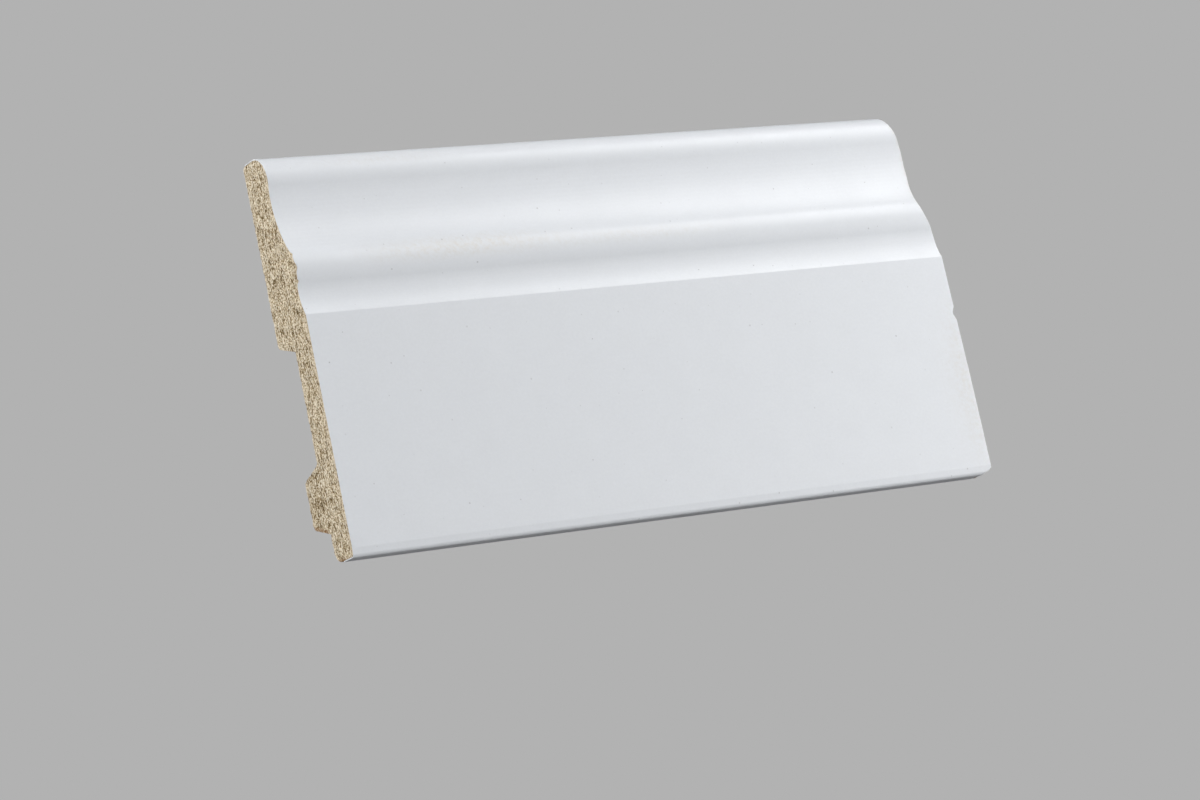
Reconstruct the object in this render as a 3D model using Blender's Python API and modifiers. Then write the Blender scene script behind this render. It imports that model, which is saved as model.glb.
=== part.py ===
"""Short length of skirting board: a moulded fibreboard core in a white foil wrap.

The section is drawn in the Y-Z plane and runs along X. Heights are counted up from the
floor edge and depths back from the flat front face; section_to_world moves both to the
frame's origin, which is the centre of the upper back face, where the board meets the wall.
"""
import math

import bmesh
import bpy
from mathutils import Matrix, Vector

# The board, in metres
LENGTH = 0.150
HEIGHT = 0.080
THICKNESS = 0.014
FOIL = 0.0003
GLUE_GAP = 0.0003
MOUNT_HEIGHT = 0.062

# Foot of the front: an eased strip that leans back, then a small radius to the underside
FOOT_RADIUS = 0.0008
EASED_HEIGHT = 0.0018
EASED_LEAN = math.radians(8.0)
FOIL_RETURN = 0.0044

# Front moulding, from the crisp edge up to the top: each member's rise, how far its end sets
# back from the one below or stands forward of it, and the share of the rise that its lower
# arc takes. The flat face takes the height left.
RECESS_RISE = 0.0047
RECESS_SETBACK = 0.0012
CREST_RISE = 0.0045
CREST_FORWARD = 0.0009
CREST_LOWER_SHARE = 0.37
COVE_RISE = 0.0149
COVE_SETBACK = 0.0048
COVE_LOWER_SHARE = 0.23
BEAD_RISE = 0.0038
BEAD_FORWARD = 0.0005
BEAD_LOWER_SHARE = 0.70
NOSING_RADIUS = 0.0053
TOP_FOIL_MARGIN = 0.0011

# Milled back: cable channel, foot pad, floor notch and the thin leg below it
FLANK_ANGLE = math.radians(18.0)
LEG_THICKNESS = 0.0077
LEG_CORNER_RADIUS = 0.0026
NOTCH_HEIGHT = 0.0060
CHANNEL_WALL = 0.0075
CHANNEL_BOTTOM = 0.0194
CHANNEL_TOP = 0.0414
CHANNEL_FILLET = 0.0013
PAD_RADIUS = 0.0012
BACK_TOP_RADIUS = 0.0009

# Small break in the front edge at the right end
CHIP_HEIGHT = 0.0345
CHIP_SPAN = 0.0027
CHIP_REACH = 0.0006
CHIP_DEPTH = 0.0012
CHIP_OVERRUN = 0.001

ARC_STEP = math.radians(7.0)
MERGE = 0.00001


def clear_scene():
    for obj in list(bpy.data.objects):
        bpy.data.objects.remove(obj, do_unlink=True)


def new_collection(name):
    collection = bpy.data.collections.new(name)
    bpy.context.scene.collection.children.link(collection)
    return collection


def new_material(name, colour, roughness):
    material = bpy.data.materials.new(name)
    material.use_nodes = True
    shader = material.node_tree.nodes["Principled BSDF"]
    shader.inputs["Base Color"].default_value = (*colour, 1.0)
    shader.inputs["Roughness"].default_value = roughness
    shader.inputs["Metallic"].default_value = 0.0
    return material


def turn(path, lean_from, lean_to, radius):
    """Add an arc to the path. Lean is the heading's angle from straight up, back positive."""
    side = math.copysign(1.0, lean_to - lean_from)
    depth, height = path[-1]
    steps = max(2, math.ceil(abs(lean_to - lean_from) / ARC_STEP))
    for i in range(1, steps + 1):
        lean = lean_from + (lean_to - lean_from) * i / steps
        path.append((depth + side * radius * (math.cos(lean_from) - math.cos(lean)),
                     height + side * radius * (math.sin(lean) - math.sin(lean_from))))


def hollow(path, rise, setback):
    """Leave a crisp edge at a slant and curve up to vertical, set back by the given depth."""
    lean = 2.0 * math.atan(setback / rise)
    turn(path, lean, 0.0, rise / math.sin(lean))


def ogee(path, rise, setback, lower_share):
    """Join two vertical tangents by two arcs that meet at the steepest point."""
    lean = 2.0 * math.atan(setback / rise)
    reach = rise / math.sin(abs(lean))
    turn(path, 0.0, lean, reach * lower_share)
    turn(path, lean, 0.0, reach * (1.0 - lower_share))


def front_path():
    """The visible outline, from under the foot, up the moulding and back over the top."""
    moulding_rise = RECESS_RISE + CREST_RISE + COVE_RISE + BEAD_RISE + NOSING_RADIUS
    arc_top = FOOT_RADIUS * (1.0 - math.sin(EASED_LEAN))
    foot_depth = FOOT_RADIUS * math.cos(EASED_LEAN) + (EASED_HEIGHT - arc_top) * math.tan(EASED_LEAN)
    path = [(FOIL_RETURN, 0.0), (foot_depth, 0.0)]
    turn(path, -math.pi / 2, -EASED_LEAN, FOOT_RADIUS)
    path.append((0.0, EASED_HEIGHT))
    path.append((0.0, HEIGHT - moulding_rise))
    hollow(path, RECESS_RISE, RECESS_SETBACK)
    ogee(path, CREST_RISE, -CREST_FORWARD, CREST_LOWER_SHARE)
    ogee(path, COVE_RISE, COVE_SETBACK, COVE_LOWER_SHARE)
    ogee(path, BEAD_RISE, -BEAD_FORWARD, BEAD_LOWER_SHARE)
    turn(path, 0.0, math.pi / 2, NOSING_RADIUS)
    path.append((THICKNESS - TOP_FOIL_MARGIN, HEIGHT))
    return path


def inset(path, distance):
    """Move an open outline sideways into the material, with mitred corners."""
    moved = []
    for i, point in enumerate(path):
        here = Vector(point)
        before = here - Vector(path[i - 1]) if i > 0 else None
        after = Vector(path[i + 1]) - here if i < len(path) - 1 else None
        normals = [Vector((d.y, -d.x)).normalized() for d in (before, after) if d is not None]
        bisector = sum(normals, Vector((0.0, 0.0))).normalized()
        moved.append(tuple(here + bisector * distance / bisector.dot(normals[0])))
    return moved


def rounded(corners):
    """Turn corners given as depth, height and radius into an outline with filleted corners."""
    outline = []
    for i in range(1, len(corners) - 1):
        corner = Vector(corners[i][:2])
        radius = corners[i][2]
        to_last = (Vector(corners[i - 1][:2]) - corner).normalized()
        to_next = (Vector(corners[i + 1][:2]) - corner).normalized()
        if radius == 0.0:
            outline.append(tuple(corner))
            continue
        half = to_last.angle(to_next) / 2.0
        centre = corner + (to_last + to_next).normalized() * radius / math.sin(half)
        first = corner + to_last * radius / math.tan(half) - centre
        last = corner + to_next * radius / math.tan(half) - centre
        sweep = first.angle_signed(last)
        steps = max(2, math.ceil(abs(sweep) / (2.0 * ARC_STEP)))
        for k in range(steps + 1):
            spoke = first.copy()
            spoke.rotate(Matrix.Rotation(-sweep * k / steps, 2))
            outline.append(tuple(centre + spoke))
    return outline


def back_path(low, high, start, end):
    """The milled back, from the top corner down to the leg's foot, between the two ends."""
    flank = math.tan(FLANK_ANGLE)
    channel_depth = THICKNESS - CHANNEL_WALL
    notch_depth = THICKNESS - LEG_THICKNESS
    corners = [
        (*start, 0.0),
        (THICKNESS, high, BACK_TOP_RADIUS),
        (THICKNESS, CHANNEL_TOP + channel_depth * flank, PAD_RADIUS),
        (CHANNEL_WALL, CHANNEL_TOP, 0.0),
        (CHANNEL_WALL, CHANNEL_BOTTOM, CHANNEL_FILLET),
        (THICKNESS, CHANNEL_BOTTOM - channel_depth * flank, PAD_RADIUS),
        (THICKNESS, NOTCH_HEIGHT + notch_depth * flank, PAD_RADIUS),
        (LEG_THICKNESS, NOTCH_HEIGHT, 0.0),
        (LEG_THICKNESS, low, LEG_CORNER_RADIUS),
        (*end, 0.0),
    ]
    return rounded(corners)


def section_to_world(depth, height):
    return depth - THICKNESS, height - MOUNT_HEIGHT


def mesh_from_curve(name, outline):
    """Fill a closed section outline and extrude it along X, as one welded solid."""
    curve = bpy.data.curves.new(name, "CURVE")
    curve.dimensions = "2D"
    curve.fill_mode = "BOTH"
    curve.extrude = LENGTH / 2.0
    spline = curve.splines.new("POLY")
    spline.points.add(len(outline) - 1)
    for point, (depth, height) in zip(spline.points, outline):
        point.co = (*section_to_world(depth, height), 0.0, 1.0)
    spline.use_cyclic_u = True
    drawing = bpy.data.objects.new(name + "_outline", curve)
    drawing.matrix_world = Matrix(((0, 0, 1, 0), (1, 0, 0, 0), (0, 1, 0, 0), (0, 0, 0, 1)))
    bpy.context.scene.collection.objects.link(drawing)
    bpy.context.view_layer.update()
    solid = drawing.evaluated_get(bpy.context.evaluated_depsgraph_get())
    mesh = bpy.data.meshes.new_from_object(solid)
    mesh.name = name
    shape = bmesh.new()
    shape.from_mesh(mesh)
    bmesh.ops.remove_doubles(shape, verts=shape.verts, dist=MERGE)
    shape.to_mesh(mesh)
    shape.free()
    obj = bpy.data.objects.new(name, mesh)
    obj.matrix_world = drawing.matrix_world.copy()
    bpy.data.objects.remove(drawing, do_unlink=True)
    bpy.data.curves.remove(curve)
    return obj


def core_board(collection):
    """Moulded fibreboard core: one solid, its front set back by the foil and the glue gap."""
    skin = FOIL + GLUE_GAP
    front = inset(front_path(), skin)[1:-1]
    back = back_path(skin, HEIGHT - skin, front[-1], front[0])
    obj = mesh_from_curve("core_board", front + back)
    obj.data.materials.clear()
    obj.data.materials.append(new_material("fibreboard", (0.52, 0.41, 0.27), 0.9))
    collection.objects.link(obj)
    return obj


def foil_wrap(collection):
    """White decorative foil: an open strip along the moulding, thickened inwards."""
    shape = bmesh.new()
    verts = [shape.verts.new((-LENGTH / 2.0, *section_to_world(*point))) for point in front_path()]
    edges = [shape.edges.new(pair) for pair in zip(verts, verts[1:])]
    swept = bmesh.ops.extrude_edge_only(shape, edges=edges)["geom"]
    moved = [item for item in swept if isinstance(item, bmesh.types.BMVert)]
    bmesh.ops.translate(shape, verts=moved, vec=(LENGTH, 0.0, 0.0))
    bmesh.ops.recalc_face_normals(shape, faces=shape.faces)
    shape.faces.ensure_lookup_table()
    flat_face = max(shape.faces, key=lambda face: face.calc_area())
    if flat_face.normal.y > 0.0:
        bmesh.ops.reverse_faces(shape, faces=shape.faces)
    mesh = bpy.data.meshes.new("foil_wrap")
    shape.to_mesh(mesh)
    shape.free()
    mesh.materials.append(new_material("white_foil", (0.80, 0.82, 0.84), 0.35))
    obj = bpy.data.objects.new("foil_wrap", mesh)
    collection.objects.link(obj)
    skin = obj.modifiers.new("foil thickness", "SOLIDIFY")
    skin.thickness = FOIL
    skin.offset = -1.0
    skin.use_even_offset = True
    return obj


def chip_cutter(collection):
    """A short rod across the right end's front edge, which leaves a shallow hollow."""
    half_span = CHIP_SPAN / 2.0
    radius = (half_span ** 2 + CHIP_REACH ** 2) / (2.0 * CHIP_REACH)
    length = CHIP_DEPTH + CHIP_OVERRUN
    shape = bmesh.new()
    bmesh.ops.create_cone(shape, cap_ends=True, segments=24, radius1=radius, radius2=radius, depth=length)
    mesh = bpy.data.meshes.new("chip_cutter")
    shape.to_mesh(mesh)
    shape.free()
    cutter = bpy.data.objects.new("chip_cutter", mesh)
    front, height = section_to_world(0.0, CHIP_HEIGHT)
    cutter.location = (LENGTH / 2.0 + radius - CHIP_REACH, front + CHIP_DEPTH - length / 2.0, height)
    cutter.rotation_euler = (math.pi / 2, 0.0, 0.0)
    cutter.hide_render = True
    cutter.display_type = "WIRE"
    collection.objects.link(cutter)
    return cutter


def cut(obj, cutter):
    chip = obj.modifiers.new("edge chip", "BOOLEAN")
    chip.operation = "DIFFERENCE"
    chip.solver = "EXACT"
    chip.object = cutter


def main():
    clear_scene()
    parts = new_collection("skirting_board")
    cutters = new_collection("cutters")
    core = core_board(parts)
    foil = foil_wrap(parts)
    chip = chip_cutter(cutters)
    cut(core, chip)
    cut(foil, chip)


main()
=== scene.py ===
import math

import bpy
import numpy as np
from mathutils import Matrix, Vector, noise


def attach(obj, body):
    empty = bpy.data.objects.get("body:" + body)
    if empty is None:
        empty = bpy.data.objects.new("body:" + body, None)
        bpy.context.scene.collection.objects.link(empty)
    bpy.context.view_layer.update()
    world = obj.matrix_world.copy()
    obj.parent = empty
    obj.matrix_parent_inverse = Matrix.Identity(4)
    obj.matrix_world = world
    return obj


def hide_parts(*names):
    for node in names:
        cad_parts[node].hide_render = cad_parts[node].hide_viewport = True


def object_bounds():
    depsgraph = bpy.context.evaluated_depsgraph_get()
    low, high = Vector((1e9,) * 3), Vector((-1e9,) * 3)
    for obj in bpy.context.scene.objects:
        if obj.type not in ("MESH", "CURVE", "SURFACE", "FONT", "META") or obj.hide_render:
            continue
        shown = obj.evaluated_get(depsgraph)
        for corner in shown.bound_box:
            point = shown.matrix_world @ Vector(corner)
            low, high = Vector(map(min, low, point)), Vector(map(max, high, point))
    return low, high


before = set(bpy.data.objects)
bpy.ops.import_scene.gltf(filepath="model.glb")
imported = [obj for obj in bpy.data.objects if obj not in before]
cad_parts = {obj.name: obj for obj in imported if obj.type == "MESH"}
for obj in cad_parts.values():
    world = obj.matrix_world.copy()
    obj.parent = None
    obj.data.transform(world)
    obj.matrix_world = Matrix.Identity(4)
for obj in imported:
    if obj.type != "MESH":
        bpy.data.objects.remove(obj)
cad_low, cad_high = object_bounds()


# The photographer's viewpoint: low and to the board's left, with a long lens that looks
# slightly up and is tilted, so that the board's lower edge rises to the right.
VIEW_FROM = Vector((-0.38382, -0.60229, -0.14758))
VIEW_AZIMUTH = math.radians(32.064)
VIEW_RISE = math.radians(9.003)
VIEW_TILT = math.radians(-11.903)
LENS_MM = 108.0
SENSOR_MM = 36.0
NEAREST_SEEN = 0.01

ahead = Vector((math.sin(VIEW_AZIMUTH) * math.cos(VIEW_RISE),
                math.cos(VIEW_AZIMUTH) * math.cos(VIEW_RISE),
                math.sin(VIEW_RISE)))
level_right = ahead.cross(Vector((0.0, 0.0, 1.0))).normalized()
level_up = level_right.cross(ahead)
tilted_right = level_right * math.cos(VIEW_TILT) + level_up * math.sin(VIEW_TILT)
tilted_up = tilted_right.cross(ahead)
camera_data = bpy.data.cameras.new("photo_camera")
camera_data.lens = LENS_MM
camera_data.sensor_width = SENSOR_MM
camera_data.clip_start = NEAREST_SEEN
camera = bpy.data.objects.new("photo_camera", camera_data)
camera.matrix_world = Matrix.LocRotScale(
    VIEW_FROM, Matrix((tilted_right, tilted_up, -ahead)).transposed().to_quaternion(), None)
bpy.context.scene.collection.objects.link(camera)
bpy.context.scene.camera = camera


# The studio: a plain pale floor well below the board that runs on into the grey surround, square
# softboxes round the board's front, its right and its left end, and a low one behind it.
FLOOR_DROP = 0.60
FLOOR_SIZE = 60.0
FLOOR_BOUNCE = 0.18
FLOOR_ROUGHNESS = 0.9
BACKDROP_GREY = 0.445
SKY_LIGHT = 0.015
GROUND_LIGHT = 0.005
SKY_BLEND = 0.6
SOFTBOX_SIZE = 0.6
SOFTBOX_REACH = 1.0
# Degrees round from straight in front, right positive, degrees up, and watts
SOFTBOXES = {"right": (75, -4, 8.2), "right_front": (58, -4, 2.6), "right_high": (58, 35, 4.9),
             "top": (75, 60, 0.5), "front": (40, 10, 0.4), "front_left": (-30, -4, 3.1),
             "left_end": (-100, 35, 10.0), "behind": (180, 14, 9.0)}


def add_node(tree, kind, inputs=None, **settings):
    """A shader node with its settings, and each input joined to a socket or set to a value."""
    made = tree.nodes.new("ShaderNode" + kind)
    for name, value in settings.items():
        setattr(made, name, value)
    for key, value in (inputs or {}).items():
        if isinstance(value, bpy.types.NodeSocket):
            tree.links.new(value, made.inputs[key])
        else:
            made.inputs[key].default_value = value
    return made


def grey(level):
    """A neutral colour, opaque."""
    return level, level, level, 1.0


bpy.ops.mesh.primitive_plane_add(size=FLOOR_SIZE, location=(0.0, 0.0, cad_low.z - FLOOR_DROP))
floor = bpy.context.object
floor.name = "studio_floor"
floor_paint = bpy.data.materials.new("floor_paint")
floor_paint.use_nodes = True
paint = floor_paint.node_tree
matt = paint.nodes["Principled BSDF"]
matt.inputs["Base Color"].default_value = grey(FLOOR_BOUNCE)
matt.inputs["Roughness"].default_value = FLOOR_ROUGHNESS
evenly_lit = add_node(paint, "Emission", {"Color": grey(BACKDROP_GREY)})
looked_at = add_node(paint, "LightPath")
floor_look = add_node(paint, "MixShader", {"Fac": looked_at.outputs["Is Camera Ray"],
                                           1: matt.outputs["BSDF"],
                                           2: evenly_lit.outputs["Emission"]})
paint.links.new(floor_look.outputs["Shader"], paint.nodes["Material Output"].inputs["Surface"])
floor.data.materials.append(floor_paint)

world = bpy.data.worlds.new("studio")
world.use_nodes = True
bpy.context.scene.world = world
sky = world.node_tree
sky.nodes.clear()
direction = add_node(sky, "TexCoord")
height = add_node(sky, "SeparateXYZ", {"Vector": direction.outputs["Generated"]})
brightness = add_node(sky, "MapRange", {"Value": height.outputs["Z"],
                                        "From Min": -SKY_BLEND, "From Max": SKY_BLEND,
                                        "To Min": GROUND_LIGHT, "To Max": SKY_LIGHT},
                      interpolation_type="SMOOTHSTEP")
surround = add_node(sky, "Background", {"Strength": brightness.outputs["Result"]})
backdrop = add_node(sky, "Background", {"Color": grey(BACKDROP_GREY)})
seen_directly = add_node(sky, "LightPath")
chosen = add_node(sky, "MixShader", {"Fac": seen_directly.outputs["Is Camera Ray"],
                                     1: surround.outputs["Background"],
                                     2: backdrop.outputs["Background"]})
add_node(sky, "OutputWorld", {"Surface": chosen.outputs["Shader"]})

for name, (around, up, watts) in SOFTBOXES.items():
    around, up = math.radians(around), math.radians(up)
    place = SOFTBOX_REACH * Vector((math.sin(around) * math.cos(up),
                                    -math.cos(around) * math.cos(up),
                                    math.sin(up)))
    softbox = bpy.data.lights.new(name, "AREA")
    softbox.energy = watts
    softbox.size = SOFTBOX_SIZE
    lamp = bpy.data.objects.new(name, softbox)
    lamp.location = place
    lamp.rotation_euler = (-place).to_track_quat("-Z", "Y").to_euler()
    lamp.visible_camera = False
    bpy.context.scene.collection.objects.link(lamp)
bpy.context.scene.view_settings.view_transform = "Standard"


# The core: one piece of medium-density fibreboard. Its front is moulded, its back is milled
# with a cable channel and a floor notch, and a saw cut it to length, a little out at the
# right end where the moulding stands proud.
FOIL = 0.00018
FOOT_RADIUS = 0.0008
EASED_HEIGHT = 0.0018
EASED_LEAN = math.radians(8.0)
FOIL_RETURN = 0.0044
# The moulding from the crisp edge up: each member's rise, how far its top sets back from its
# foot or stands forward of it, and the share of the rise that its lower arc takes
RECESS_RISE = 0.0047
RECESS_SETBACK = 0.0012
CREST_RISE = 0.0045
CREST_FORWARD = 0.0009
CREST_LOWER_SHARE = 0.37
COVE_RISE = 0.0149
COVE_SETBACK = 0.0048
COVE_LOWER_SHARE = 0.23
BEAD_RISE = 0.0038
BEAD_FORWARD = 0.0005
BEAD_LOWER_SHARE = 0.70
NOSING_RADIUS = 0.0053
TOP_FOIL_MARGIN = 0.0011
# The milled back
FLANK_SLOPE = math.tan(math.radians(18.0))
LEG_THICKNESS = 0.0077
LEG_CORNER_RADIUS = 0.0026
NOTCH_HEIGHT = 0.0060
CHANNEL_WALL = 0.0075
CHANNEL_BOTTOM = 0.0194
CHANNEL_TOP = 0.0414
CHANNEL_FILLET = 0.0013
PAD_RADIUS = 0.0012
BACK_TOP_RADIUS = 0.0009
ARC_STEP = math.radians(3.0)

left_end, right_end = cad_low.x, cad_high.x
thickness = cad_high.y - cad_low.y
board_height = cad_high.z - cad_low.z


def to_frame(x, depth, height):
    """A point behind the flat front face and above the floor edge, in the frame's own axes."""
    return x, cad_low.y + depth, cad_low.z + height


def add_arc(path, lean_from, lean_to, radius):
    """Lean is the heading's angle from straight up, back positive."""
    side = math.copysign(1.0, lean_to - lean_from)
    depth, height = path[-1]
    steps = max(2, math.ceil(abs(lean_to - lean_from) / ARC_STEP))
    for i in range(1, steps + 1):
        lean = lean_from + (lean_to - lean_from) * i / steps
        path.append((depth + side * radius * (math.cos(lean_from) - math.cos(lean)),
                     height + side * radius * (math.sin(lean) - math.sin(lean_from))))


def add_hollow(path, rise, setback):
    """One arc that starts leaning back and ends upright."""
    lean = 2.0 * math.atan(setback / rise)
    add_arc(path, lean, 0.0, rise / math.sin(lean))


def add_ogee(path, rise, setback, lower_share):
    """Two arcs, upright at both ends, that set back or, with a negative setback, come forward."""
    lean = 2.0 * math.atan(setback / rise)
    reach = rise / math.sin(abs(lean))
    add_arc(path, 0.0, lean, reach * lower_share)
    add_arc(path, lean, 0.0, reach * (1.0 - lower_share))


def moulded_outline():
    """The wrapped face as depth and height, from under the foot to the top's back edge."""
    moulding_rise = RECESS_RISE + CREST_RISE + COVE_RISE + BEAD_RISE + NOSING_RADIUS
    arc_top = FOOT_RADIUS * (1.0 - math.sin(EASED_LEAN))
    foot_depth = FOOT_RADIUS * math.cos(EASED_LEAN)
    foot_depth += (EASED_HEIGHT - arc_top) * math.tan(EASED_LEAN)
    path = [(FOIL_RETURN, 0.0), (foot_depth, 0.0)]
    add_arc(path, -math.pi / 2, -EASED_LEAN, FOOT_RADIUS)
    path.append((0.0, EASED_HEIGHT))
    path.append((0.0, board_height - moulding_rise))
    add_hollow(path, RECESS_RISE, RECESS_SETBACK)
    add_ogee(path, CREST_RISE, -CREST_FORWARD, CREST_LOWER_SHARE)
    add_ogee(path, COVE_RISE, COVE_SETBACK, COVE_LOWER_SHARE)
    add_ogee(path, BEAD_RISE, -BEAD_FORWARD, BEAD_LOWER_SHARE)
    add_arc(path, 0.0, math.pi / 2, NOSING_RADIUS)
    path.append((thickness - TOP_FOIL_MARGIN, board_height))
    return path


def set_in(path, distance):
    """The path moved into the material, with mitred corners."""
    points = np.array(path)
    along = np.diff(points, axis=0)
    along /= np.linalg.norm(along, axis=1)[:, None]
    inward = np.stack([along[:, 1], -along[:, 0]], axis=1)
    before = np.vstack([inward[:1], inward])
    after = np.vstack([inward, inward[-1:]])
    middle = before + after
    middle /= np.linalg.norm(middle, axis=1)[:, None]
    return points + middle * distance / np.sum(middle * before, axis=1)[:, None]


def rounded(corners):
    """Corners given as depth, height and radius, as an outline with filleted corners."""
    outline = []
    for last, (depth, height, radius), following in zip(corners, corners[1:], corners[2:]):
        corner = Vector((depth, height))
        to_last = (Vector(last[:2]) - corner).normalized()
        to_next = (Vector(following[:2]) - corner).normalized()
        if radius == 0.0:
            outline.append(tuple(corner))
            continue
        half = to_last.angle(to_next) / 2.0
        centre = corner + (to_last + to_next).normalized() * radius / math.sin(half)
        spoke = corner + to_last * radius / math.tan(half) - centre
        end = corner + to_next * radius / math.tan(half) - centre
        sweep = spoke.angle_signed(end)
        steps = max(2, math.ceil(abs(sweep) / (2.0 * ARC_STEP)))
        for k in range(steps + 1):
            turned = spoke.copy()
            turned.rotate(Matrix.Rotation(-sweep * k / steps, 2))
            outline.append(tuple(centre + turned))
    return outline


def milled_outline(low, high):
    """The back as depth and height, from the top's back corner down to the leg's foot."""
    channel_depth = thickness - CHANNEL_WALL
    notch_depth = thickness - LEG_THICKNESS
    return rounded([
        (thickness - 2.0 * BACK_TOP_RADIUS, high, 0.0),
        (thickness, high, BACK_TOP_RADIUS),
        (thickness, CHANNEL_TOP + channel_depth * FLANK_SLOPE, PAD_RADIUS),
        (CHANNEL_WALL, CHANNEL_TOP, 0.0),
        (CHANNEL_WALL, CHANNEL_BOTTOM, CHANNEL_FILLET),
        (thickness, CHANNEL_BOTTOM - channel_depth * FLANK_SLOPE, PAD_RADIUS),
        (thickness, NOTCH_HEIGHT + notch_depth * FLANK_SLOPE, PAD_RADIUS),
        (LEG_THICKNESS, NOTCH_HEIGHT, 0.0),
        (LEG_THICKNESS, low, LEG_CORNER_RADIUS),
        (LEG_THICKNESS - 2.0 * LEG_CORNER_RADIUS, low, 0.0),
    ])


def bell(distance, reach):
    """A smooth bump, 1 in the middle and 0 beyond the reach."""
    share = np.clip(np.abs(distance) / reach, 0.0, 1.0)
    return (1.0 - share ** 2) ** 2


# Where the right end's front edge is rubbed or cut back: the height of each place, how far it
# spreads up and down, and how much of the length is missing at the front.
CUT_BACK = {"all along": (0.0682, 0.0608, 0.00053), "crest": (0.0590, 0.0079, 0.00215),
            "cove": (0.0664, 0.0057, 0.00072), "nosing": (0.0907, 0.0235, 0.0040),
            "small chip": (0.0345, 0.0015, 0.0006), "foot corner": (-0.0003, 0.0015, 0.0024)}
CUT_BACK_DEPTH = 0.0065
CUT_BACK_RUN = 0.030


def right_edge_missing(height):
    """How far the right end's front edge stops short at each height."""
    return sum(amount * bell(height - at, reach) for at, reach, amount in CUT_BACK.values())


SEED_SHIFT = Vector((7.3, 3.1, 5.7))


def rough(points, size, seed):
    """Smooth noise from -1 to 1, for points in metres and grains of the given size."""
    return np.array([noise.noise(Vector(p) / size + seed * SEED_SHIFT) for p in points])


ROW_STEP = 0.00022
ROW_LEAST = 0.00002
COLUMNS = 54
ARRIS = 0.00012
# How far in from each sawn end the core's first outlines lie
CORE_STATIONS = np.array((0.0, 0.00015, 0.0006, 0.0015, 0.004, 0.009, 0.018, 0.032, 0.050))
SHARP_ANGLE = math.radians(32.0)
# Pits that the saw tore in both ends, drawn out up the board and gathered in clusters
PIT_DEPTH = 0.00014
PIT_SIZE = 0.0006
PIT_DRAW = (1.0, 1.5, 0.7)
PIT_STEEPNESS = 2.2
PIT_LEAST = 0.1
CLUSTER_SIZE = 2.3 * PIT_SIZE
CLUSTER_SHARE = 0.5
# Where the saw tore out more fibre: depth, height, reach, and how much more
TORN_PLACES = {"pad": (0.0112, 0.0125, 0.0048, 0.45), "thick part": (0.0085, 0.0560, 0.0050, 0.12)}

foil_back = set_in(moulded_outline(), FOIL)
core_low, core_high = foil_back[0][1], foil_back[-1][1]
mill = milled_outline(core_low, core_high)
front_heights = foil_back[1:-1, 1]
front_depths = foil_back[1:-1, 0]
back_depths, back_heights = np.array(mill)[::-1].T
even_heights = np.arange(core_low, core_high, ROW_STEP)
rows = [core_low]
for value in np.sort(np.concatenate([front_heights, back_heights, even_heights])):
    if value - rows[-1] > ROW_LEAST and core_high - value > ROW_LEAST:
        rows.append(value)
rows = np.array(rows + [core_high])
row_front = np.interp(rows, front_heights, front_depths)
row_back = np.interp(rows, back_heights, back_depths)
stations = np.concatenate([left_end + CORE_STATIONS, right_end - CORE_STATIONS[::-1]])

# The outline of each station is a loop: up the front, back over the top, down the back and
# forward under the foot. The sawn ends fill the first and the last loop with a fine grid.
last_row = len(rows) - 1
last_station = len(stations) - 1
loop = [(i, 0) for i in range(last_row + 1)]
loop += [(last_row, j) for j in range(1, COLUMNS)]
loop += [(i, COLUMNS) for i in range(last_row, -1, -1)]
loop += [(0, j) for j in range(COLUMNS - 1, 0, -1)]
count = len(loop)


def section_point(i, j, shrink=0.0):
    """Depth and height of a point of the section, drawn in at the arrises by the shrink."""
    front = row_front[i] + shrink
    back = row_back[i] - shrink
    level = min(max(rows[i], core_low + shrink), core_high - shrink)
    return front + (back - front) * j / COLUMNS, level


vertices, faces = [], []
for k, x in enumerate(stations):
    shrink = ARRIS if k in (0, last_station) else 0.0
    vertices += [(x, *section_point(i, j, shrink)) for i, j in loop]
for k in range(last_station):
    for p in range(count):
        q = (p + 1) % count
        faces.append((k * count + p, k * count + q, (k + 1) * count + q, (k + 1) * count + p))
skin_faces = len(faces)
for k, flip in ((0, False), (last_station, True)):
    grid = {place: k * count + p for p, place in enumerate(loop)}
    for i in range(1, last_row):
        for j in range(1, COLUMNS):
            grid[i, j] = len(vertices)
            vertices.append((stations[k], *section_point(i, j, ARRIS)))
    for i in range(last_row):
        for j in range(COLUMNS):
            quad = (grid[i, j], grid[i, j + 1], grid[i + 1, j + 1], grid[i + 1, j])
            faces.append(quad[::-1] if flip else quad)

points = np.array(vertices)
behind_front = points[:, 1] - np.interp(points[:, 2], rows, row_front)
before_back = np.interp(points[:, 2], rows, row_back) - points[:, 1]
fade = 1.0 - np.clip(behind_front / CUT_BACK_DEPTH, 0.0, 1.0)
near_right = np.clip((points[:, 0] - (right_end - CUT_BACK_RUN)) / CUT_BACK_RUN, 0.0, 1.0)
points[:, 0] -= right_edge_missing(points[:, 2]) * fade ** 2 * (3.0 - 2.0 * fade) * near_right
outward = np.where(points[:, 0] < 0.0, -1.0, 1.0)
on_end = np.zeros(len(points), bool)
on_end[:count] = True
on_end[last_station * count:] = True
drawn_up = points[on_end] * PIT_DRAW
torn = rough(drawn_up, PIT_SIZE, 1) + CLUSTER_SHARE * rough(drawn_up, CLUSTER_SIZE, 2)
for depth, level, reach, amount in TORN_PLACES.values():
    torn += amount * bell(np.hypot(points[on_end, 1] - depth, points[on_end, 2] - level), reach)
pitted = np.zeros(len(points))
pitted[on_end] = np.clip(PIT_STEEPNESS * torn - PIT_LEAST, 0.0, 1.0)
points[:, 0] -= outward * PIT_DEPTH * pitted

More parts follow.
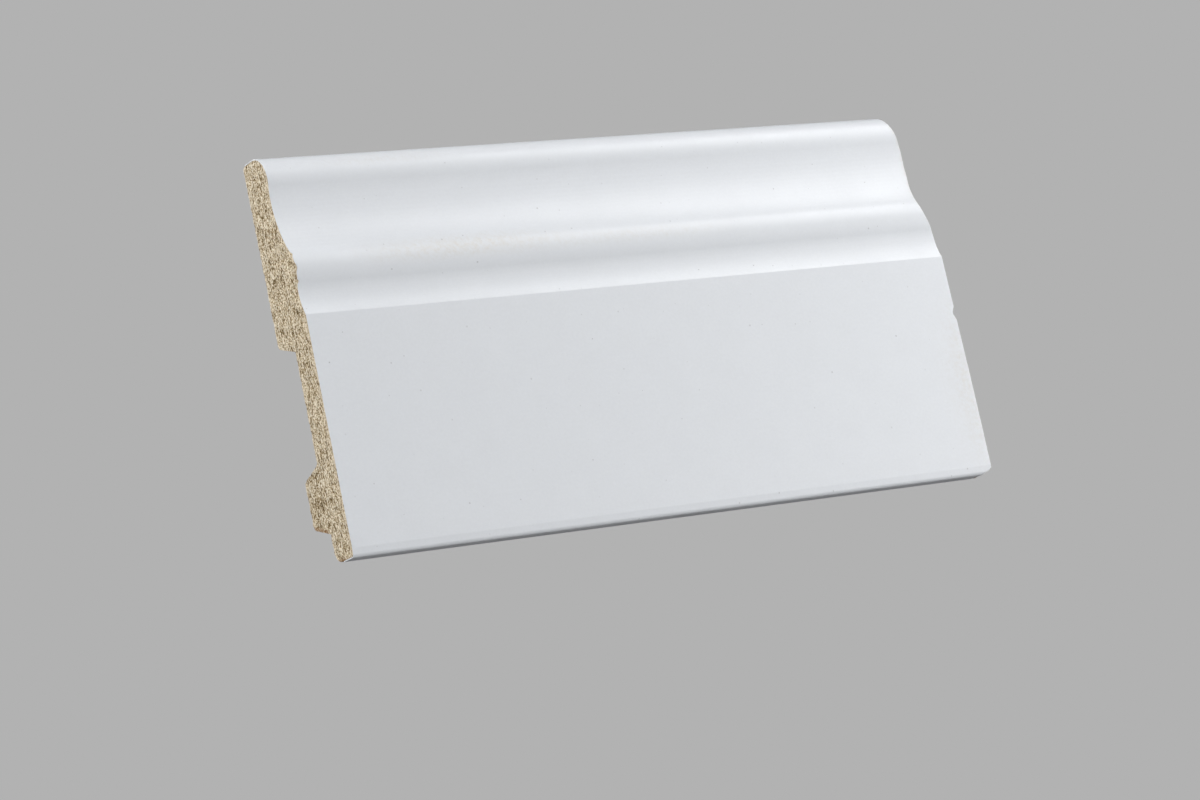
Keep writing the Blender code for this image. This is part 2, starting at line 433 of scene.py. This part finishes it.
# Painted shade darkens the board a little along the pad's lower side and under the foot,
# and the two wall faces were sanded after the channel and the notch were milled.
UNDER_SHADE_REACH = 0.0008
PAD_SHADE_RISE = 0.3 * UNDER_SHADE_REACH
PAD_SHADE_FADE = 0.001
FOOT_SHADE_RISE = 1.3 * UNDER_SHADE_REACH
FOOT_SHADE_DEPTH = 0.0050
FOOT_SHADE_SPREAD = 0.0028
SANDED_SKIN = 0.0003

depths, heights = points[:, 1], points[:, 2]
notch_depth = thickness - LEG_THICKNESS
behind_leg = np.clip((depths - LEG_THICKNESS) / notch_depth, 0.0, 1.0)
above_notch = heights - NOTCH_HEIGHT - behind_leg * notch_depth * FLANK_SLOPE
# Painted shade: a dark brown band along the pad's lower side and under the foot
by_pad = bell(above_notch - PAD_SHADE_RISE, UNDER_SHADE_REACH)
by_pad *= np.clip((depths - LEG_THICKNESS) / PAD_SHADE_FADE, 0.0, 1.0)
by_foot = bell(heights - core_low, FOOT_SHADE_RISE)
by_foot *= bell(depths - FOOT_SHADE_DEPTH, FOOT_SHADE_SPREAD)
sanded = np.clip((depths - (thickness - 2.0 * SANDED_SKIN)) / SANDED_SKIN, 0.0, 1.0)
masks = {"front_skin_mm": 1000.0 * behind_front, "back_skin_mm": 1000.0 * before_back,
         "pitted": pitted, "painted_under_shade": np.maximum(by_pad, by_foot), "sanded": sanded}

core_mesh = bpy.data.meshes.new("fibreboard_core")
core_mesh.from_pydata([to_frame(*p) for p in points], [], faces)
core_mesh.validate()
core = bpy.data.objects.new("fibreboard_core", core_mesh)
bpy.context.scene.collection.objects.link(core)
for name, values in masks.items():
    core_mesh.attributes.new(name, "FLOAT", "POINT").data.foreach_set("value", values)
sawn_faces = len(faces) - skin_faces
core_mesh.polygons.foreach_set("material_index", [0] * skin_faces + [1] * sawn_faces)
core_mesh.polygons.foreach_set("use_smooth", [True] * len(faces))
core_mesh.set_sharp_from_angle(angle=SHARP_ANGLE)


def colour_ramp(tree, stops):
    ramp = tree.nodes.new("ShaderNodeValToRGB")
    elements = ramp.color_ramp.elements
    while len(elements) < len(stops):
        elements.new(0.5)
    for element, (place, colour) in zip(elements, stops):
        element.position = place
        element.color = (*colour, 1.0)
    return ramp


def between(tree, value, low, high, to_low=0.0, to_high=1.0):
    """The value's place between two limits, held within them and spread over a new range."""
    limits = {"Value": value, "From Min": low, "From Max": high, "To Min": to_low, "To Max": to_high}
    return add_node(tree, "MapRange", limits).outputs["Result"]


def maths(tree, operation, first, second):
    return add_node(tree, "Math", {0: first, 1: second}, operation=operation).outputs["Value"]


def mixed(tree, share, first, second):
    """Two colours mixed, where each is a socket or red, green and blue."""
    first, second = (colour if isinstance(colour, bpy.types.NodeSocket) else (*colour, 1.0)
                     for colour in (first, second))
    return add_node(tree, "Mix", {0: share, 6: first, 7: second}, data_type="RGBA").outputs[2]


def stretched(tree, place, shares):
    """The place scaled along each axis: marks laid by it are long where the share is small."""
    return add_node(tree, "VectorMath", {0: place, 1: shares}, operation="MULTIPLY").outputs["Vector"]


def noise_value(tree, place, scale, detail, roughness=0.5, distortion=0.0):
    """Cloudy noise from 0 to 1 at the place, with scale marks to each of its units."""
    made = add_node(tree, "TexNoise", {"Vector": place, "Scale": scale, "Detail": detail,
                                       "Roughness": roughness, "Distortion": distortion})
    return made.outputs["Fac"]


# How the fibre is drawn: contrast and shift of the gaps, the strands' length, and the clouds
GAP_CONTRAST = 1.12
GAP_SHIFT = 0.06
STRAND_DRAW = (1.0, 1.2, 0.22)
CLOUDS_PER_GRAIN = 0.16


def fibre_group():
    """Wood fibre pressed to board: small dark gaps, strands up the board, and broad clouds."""
    group = bpy.data.node_groups.new("wood fibre", "ShaderNodeTree")
    for name, kind, value in (("Grain Size mm", "NodeSocketFloat", 0.5),
                              ("Stretch", "NodeSocketVector", (1.0, 1.0, 1.0)),
                              ("Strands", "NodeSocketFloat", 0.5)):
        socket = group.interface.new_socket(name, in_out="INPUT", socket_type=kind)
        socket.default_value = value
    for name in ("Specks", "Clouds"):
        group.interface.new_socket(name, in_out="OUTPUT", socket_type="NodeSocketFloat")
    enter = group.nodes.new("NodeGroupInput")
    leave = group.nodes.new("NodeGroupOutput")
    everywhere = add_node(group, "NewGeometry").outputs["Position"]
    place = stretched(group, everywhere, enter.outputs["Stretch"])
    per_metre = maths(group, "DIVIDE", 1000.0, enter.outputs["Grain Size mm"])
    gaps = noise_value(group, place, per_metre, detail=2.0, roughness=0.68, distortion=0.2)
    gaps = maths(group, "SUBTRACT", maths(group, "MULTIPLY", gaps, GAP_CONTRAST), GAP_SHIFT)
    up_the_board = stretched(group, place, STRAND_DRAW)
    strands = noise_value(group, up_the_board, per_metre, detail=1.0)
    strands = maths(group, "MULTIPLY", maths(group, "SUBTRACT", strands, 0.5),
                    enter.outputs["Strands"])
    clouds_per_metre = maths(group, "MULTIPLY", per_metre, CLOUDS_PER_GRAIN)
    clouds = noise_value(group, place, clouds_per_metre, detail=2.0)
    group.links.new(maths(group, "ADD", gaps, strands), leave.inputs["Specks"])
    group.links.new(clouds, leave.inputs["Clouds"])
    return group


fibre = fibre_group()
# Colours, and for each effect the two limits of what drives it and what it gives at each
PRESSED_SKIN = (0.70, 0.60, 0.46)
FRONT_SKIN_MM = (1.5, 0.3, 0.0, 0.45)
BACK_SKIN_MM = (1.6, 0.3, 0.0, 0.40)
SKIN_OVER_GAPS = (0.36, 0.52, 0.35, 1.0)
PIT_SHADE = 0.11
CLOUD_SHADE = (0.3, 0.7, 0.90, 1.09)
# The dark brown of the painted shade under the pad and the foot
UNDER_SHADE_BROWN = (0.19, 0.085, 0.02)
UNDER_SHADE_BY_FIBRE = (0.60, 0.40, 0.5, 1.0)
RAW_TO_SANDED_ROUGHNESS = (0.0, 1.0, 0.92, 0.72)
RAW_TO_SANDED_RELIEF = (0.0, 1.0, 1.0, 0.35)
FIBRE_SPECULAR = 0.2


def fibreboard(name, ramp_stops, grain_mm, stretch, strands, bump_mm):
    """Raw fibreboard: dark gaps, pits darkened by painted shade, paler dense skins at both faces, and
    painted shade under the pad and the foot.
    """
    material = bpy.data.materials.new(name)
    material.use_nodes = True
    tree = material.node_tree
    shader = tree.nodes["Principled BSDF"]
    shader.inputs["Specular IOR Level"].default_value = FIBRE_SPECULAR
    grain = add_node(tree, "Group", {"Grain Size mm": grain_mm, "Stretch": stretch,
                                     "Strands": strands}, node_tree=fibre)
    specks, clouds = grain.outputs["Specks"], grain.outputs["Clouds"]
    mask = {made: add_node(tree, "Attribute", attribute_name=made).outputs["Fac"] for made in masks}
    # Painted shade: the saw's pits are darkened here, as if their hollows were open gaps
    fibre_and_pit_shade = maths(tree, "SUBTRACT", specks, maths(tree, "MULTIPLY", mask["pitted"], PIT_SHADE))
    ramp = colour_ramp(tree, ramp_stops)
    tree.links.new(fibre_and_pit_shade, ramp.inputs["Fac"])
    skins = maths(tree, "MAXIMUM", between(tree, mask["front_skin_mm"], *FRONT_SKIN_MM),
                  between(tree, mask["back_skin_mm"], *BACK_SKIN_MM))
    skins = maths(tree, "MULTIPLY", skins, between(tree, fibre_and_pit_shade, *SKIN_OVER_GAPS))
    layered = mixed(tree, skins, ramp.outputs["Color"], PRESSED_SKIN)
    shade = between(tree, clouds, *CLOUD_SHADE)
    clouded = add_node(tree, "HueSaturation", {"Value": shade, "Color": layered}).outputs["Color"]
    # Painted shade: the pad's lower side and the foot's underside are mixed towards dark brown
    under_shade = maths(tree, "MULTIPLY", mask["painted_under_shade"], between(tree, specks, *UNDER_SHADE_BY_FIBRE))
    tree.links.new(mixed(tree, under_shade, clouded, UNDER_SHADE_BROWN), shader.inputs["Base Color"])
    roughness = between(tree, mask["sanded"], *RAW_TO_SANDED_ROUGHNESS)
    tree.links.new(roughness, shader.inputs["Roughness"])
    relief = maths(tree, "MULTIPLY", specks, between(tree, mask["sanded"], *RAW_TO_SANDED_RELIEF))
    bump = add_node(tree, "Bump", {"Distance": bump_mm / 1000.0, "Height": relief})
    tree.links.new(bump.outputs["Normal"], shader.inputs["Normal"])
    return material


# Each ramp runs from an open gap to closed fibre
SAWN_STOPS = ((0.325, (0.122, 0.079, 0.031)), (0.43, (0.33, 0.245, 0.13)),
              (0.487, (0.565, 0.467, 0.322)), (0.56, (0.70, 0.61, 0.465)),
              (0.67, (0.82, 0.76, 0.63)))
MILLED_STOPS = ((0.28, (0.34, 0.25, 0.145)), (0.40, (0.47, 0.37, 0.235)),
                (0.58, (0.545, 0.44, 0.295)), (0.75, (0.61, 0.51, 0.36)))
core_mesh.materials.append(fibreboard("milled_fibreboard", MILLED_STOPS, grain_mm=0.40,
                                      stretch=(0.45, 1.0, 1.0), strands=0.12, bump_mm=0.02))
core_mesh.materials.append(fibreboard("sawn_fibreboard", SAWN_STOPS, grain_mm=0.46,
                                      stretch=(1.0, 1.30, 1.15), strands=0.55, bump_mm=0.08))
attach(core, "root")
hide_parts("core_board")


# The foil: a thin satin white decorative film, glued to the moulded front in one strip and
# turned round the foot and over the top. Both its ends were sawn through with the board.
FOIL_ROW_STEP = 0.0006
FOIL_BEND = 0.00012
# How far in from each sawn end the foil's first columns lie
FOIL_STATIONS = (0.0, 0.00004, 0.0001, 0.0003, 0.0007, 0.0014, 0.0026, 0.005, 0.009)
FOIL_MIDDLE = 0.062
FOIL_MIDDLE_STEPS = 30
# Nicks in the left edge: height, half the span up the board, and how far in each reaches
LEFT_CHIPS = {"crest": (0.0562, 0.0011, 0.0003), "recess": (0.0534, 0.0005, 0.0003),
              "foot of the cove": (0.0590, 0.0006, 0.0003)}
EDGE_RAGGED = 0.00004
RAG_SIZE = 0.0009
LEFT_RAG_SEED = 3.0
RIGHT_RAG_SEED = 9.0
FOIL_EASE = 0.00002


def spaced(path, longest, close):
    """The same path with points added: no step longer than asked, and one close by each bend."""
    points = [path[0]]
    for (d0, h0), (d1, h1) in zip(path, path[1:]):
        span = math.hypot(d1 - d0, h1 - h0)
        steps = max(1, math.ceil(span / longest))
        shares = {i / steps for i in range(1, steps + 1)}
        if span > 4.0 * close:
            shares |= {close / span, 1.0 - close / span}
        points += [(d0 + (d1 - d0) * share, h0 + (h1 - h0) * share) for share in sorted(shares)]
    return points


face_outline = np.array(spaced(moulded_outline(), FOIL_ROW_STEP, FOIL_BEND))
face_inner = set_in(face_outline, FOIL)
face_eased = set_in(face_outline, FOIL_EASE)
face_heights = face_outline[:, 1]


def ragged(seed):
    """How far the sawn edge frays at each point of the outline."""
    fray = [noise.noise(Vector((d / RAG_SIZE, h / RAG_SIZE, seed))) for d, h in face_outline]
    return EDGE_RAGGED * np.clip(fray, 0.0, 1.0)


nicked = sum(reach * bell(face_heights - at, span) for at, span, reach in LEFT_CHIPS.values())
left_missing = ragged(LEFT_RAG_SEED) + nicked
right_missing = ragged(RIGHT_RAG_SEED) + right_edge_missing(face_heights)
middle = np.linspace(-FOIL_MIDDLE, FOIL_MIDDLE, FOIL_MIDDLE_STEPS + 1)
outer, inner = [], []
row_count = len(face_outline)
width = 2 * len(FOIL_STATIONS) + len(middle)
for r in range(row_count):
    xs = [left_end + left_missing[r] + s for s in FOIL_STATIONS]
    xs += list(middle)
    xs += [right_end - right_missing[r] - s for s in reversed(FOIL_STATIONS)]
    for k, x in enumerate(xs):
        at_end = k in (0, width - 1)
        outer.append((x, *(face_eased[r] if at_end else face_outline[r])))
        inner.append((x, *face_inner[r]))
foil_vertices = outer + inner
under = len(outer)
foil_faces = []
for r in range(row_count - 1):
    for k in range(width - 1):
        a, b = r * width + k, r * width + k + 1
        c, d = b + width, a + width
        foil_faces.append((a, b, c, d))
        foil_faces.append((under + d, under + c, under + b, under + a))
    for k, flip in ((0, False), (width - 1, True)):
        a, d = r * width + k, (r + 1) * width + k
        quad = (a, d, under + d, under + a)
        foil_faces.append(quad[::-1] if flip else quad)
for r, flip in ((0, False), (row_count - 1, True)):
    for k in range(width - 1):
        a, b = r * width + k, r * width + k + 1
        quad = (a, under + a, under + b, b)
        foil_faces.append(quad[::-1] if flip else quad)
foil_mesh = bpy.data.meshes.new("white_foil")
foil_mesh.from_pydata([to_frame(*p) for p in foil_vertices], [], foil_faces)
foil_mesh.validate()
foil = bpy.data.objects.new("white_foil", foil_mesh)
bpy.context.scene.collection.objects.link(foil)
foil_mesh.polygons.foreach_set("use_smooth", [True] * len(foil_mesh.polygons))
foil_mesh.set_sharp_from_angle(angle=SHARP_ANGLE)

# Faint tinges left by hands and glue: the place along the board and up it, the reach both ways,
# and the strength. The rubbed right edge is tinged too, up the moulding and close to the edge.
TINGES = {"above the crest": (-0.038, 0.0578, 0.030, 0.0034, 1.0),
          "along the crest": (0.002, 0.0572, 0.030, 0.0022, 0.45),
          "by the right end": (0.0740, 0.0190, 0.0060, 0.0240, 0.7),
          "on the nosing": (-0.050, 0.0775, 0.022, 0.0016, 0.4)}
RUBBED_HEIGHT = 0.0680
RUBBED_SPREAD = 0.0150
RUBBED_REACH = 0.0009
RUBBED_STRENGTH = 0.9

run = np.linalg.norm(np.diff(face_outline, axis=0), axis=1)
run = np.concatenate([[0.0], np.cumsum(run)])
foil_points = np.array(foil_vertices)
along, up_board = foil_points[:, 0], foil_points[:, 2]
sheet_mm = np.zeros((len(foil_points), 3))
sheet_mm[:, 0] = 1000.0 * along
sheet_mm[:, 1] = 1000.0 * run[(np.arange(len(foil_points)) % under) // width]
tinged = sum(strength * bell(along - at, reach) * bell(up_board - level, spread)
             for at, level, reach, spread, strength in TINGES.values())
from_edge = right_end - right_edge_missing(up_board) - along
rubbed = RUBBED_STRENGTH * bell(from_edge, RUBBED_REACH)
tinged = np.maximum(tinged, rubbed * bell(up_board - RUBBED_HEIGHT, RUBBED_SPREAD))
in_sheet = foil_mesh.attributes.new("sheet_mm", "FLOAT_VECTOR", "POINT")
in_sheet.data.foreach_set("vector", sheet_mm.ravel())
foil_mesh.attributes.new("tinged", "FLOAT", "POINT").data.foreach_set("value", tinged)

FOIL_WHITE = (0.812, 0.837, 0.872)
FOIL_SHADE = (0.788, 0.812, 0.846)
FOIL_TINGE = (0.64, 0.57, 0.46)
FOIL_DOT = (0.36, 0.36, 0.37)
# For each effect, the two limits of what drives it and what it gives at each
PRINT_SHADE = (0.38, 0.62, 0.0, 1.0)
TINGE_PATCHES = (0.42, 0.70, 0.10, 0.42)
DOT_SIZE = (0.0, 1.0, 0.012, 0.034)
DOT_STRENGTH = (0.45, 1.0, 0.0, 0.5)
SATIN_ROUGHNESS = (0.35, 0.65, 0.31, 0.37)
TINGE_ROUGHNESS = 0.4
WAVE_DRAW = (0.25, 1.0, 1.0)
WAVE_RELIEF = 0.00003
GRAIN_RELIEF = 0.000006

# Every scale below is for places on the sheet in millimetres.
satin = bpy.data.materials.new("satin_white_foil")
satin.use_nodes = True
tree = satin.node_tree
shader = tree.nodes["Principled BSDF"]
sheet = add_node(tree, "Attribute", attribute_name="sheet_mm").outputs["Vector"]
tinge = add_node(tree, "Attribute", attribute_name="tinged").outputs["Fac"]
clouds = noise_value(tree, sheet, scale=0.10, detail=5.0, roughness=0.68)
grain = noise_value(tree, sheet, scale=1.6, detail=3.0, roughness=0.6)
print_shade = maths(tree, "ADD", maths(tree, "MULTIPLY", clouds, 0.5),
                    maths(tree, "MULTIPLY", grain, 0.5))
colour = mixed(tree, between(tree, print_shade, *PRINT_SHADE), FOIL_WHITE, FOIL_SHADE)
patches = noise_value(tree, sheet, scale=0.8, detail=4.0, roughness=0.65)
dirt = maths(tree, "MULTIPLY", tinge, between(tree, patches, *TINGE_PATCHES))
colour = mixed(tree, dirt, colour, FOIL_TINGE)
cells = add_node(tree, "TexVoronoi", {"Vector": sheet, "Scale": 0.17}, voronoi_dimensions="2D")
chance = add_node(tree, "SeparateColor", {"Color": cells.outputs["Color"]})
dot_size = between(tree, chance.outputs["Red"], *DOT_SIZE)
dot = maths(tree, "LESS_THAN", cells.outputs["Distance"], dot_size)
dot = maths(tree, "MULTIPLY", dot, between(tree, chance.outputs["Green"], *DOT_STRENGTH))
tree.links.new(mixed(tree, dot, colour, FOIL_DOT), shader.inputs["Base Color"])
gloss = maths(tree, "ADD", between(tree, clouds, *SATIN_ROUGHNESS),
              maths(tree, "MULTIPLY", dirt, TINGE_ROUGHNESS))
tree.links.new(gloss, shader.inputs["Roughness"])
waves = noise_value(tree, stretched(tree, sheet, WAVE_DRAW), scale=0.16, detail=1.0)
wavy = add_node(tree, "Bump", {"Distance": WAVE_RELIEF, "Height": waves})
grained = add_node(tree, "Bump", {"Distance": GRAIN_RELIEF, "Height": grain,
                                  "Normal": wavy.outputs["Normal"]})
tree.links.new(grained.outputs["Normal"], shader.inputs["Normal"])
foil_mesh.materials.append(satin)
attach(foil, "root")
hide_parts("foil_wrap")

bpy.context.view_layer.update()
